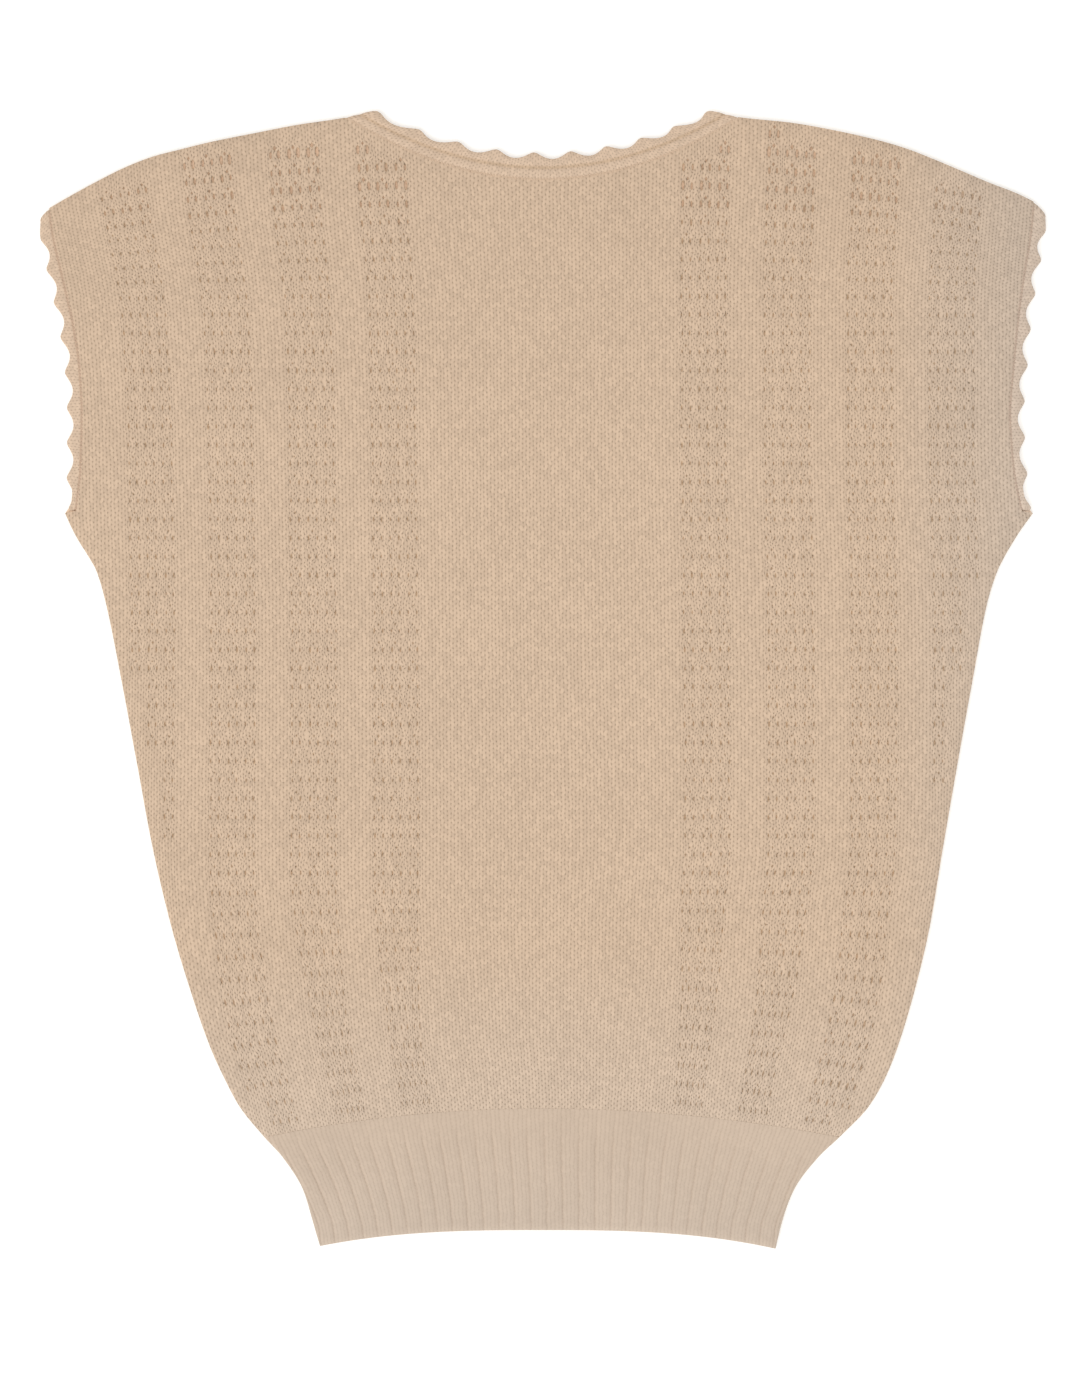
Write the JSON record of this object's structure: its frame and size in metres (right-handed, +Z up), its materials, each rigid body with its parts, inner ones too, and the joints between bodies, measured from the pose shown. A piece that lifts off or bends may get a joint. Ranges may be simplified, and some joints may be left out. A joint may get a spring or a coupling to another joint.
{
  "type": "tank top",
  "caption": "Sleeveless knitted cotton top laid flat, with vertical lace stripes, scalloped neck and armhole edgings and a ribbed hem.",
  "frame": {"origin": "on the surface the garment lies on, under the middle of its width and length", "axes": "+Z up out of the surface, through the front panel; +Y from the hem to the neck; +X to the right as the garment is seen from above with its neck at the top"},
  "size_m": [0.5301, 0.5994, 0.0054],
  "materials": {
    "knit": "matte beige cotton stocking stitch with lace stripes",
    "rib_knit": "matte beige cotton rib",
    "edging": "matte beige cotton crochet edging"
  },
  "bodies": {
    "root": {"front_panel": "knit", "back_panel": "knit", "front_hem_rib": "rib_knit", "back_hem_rib": "rib_knit", "neck_trim": "edging", "armhole_trim_left": "edging", "armhole_trim_right": "edging"}
  },
  "joints": []
}
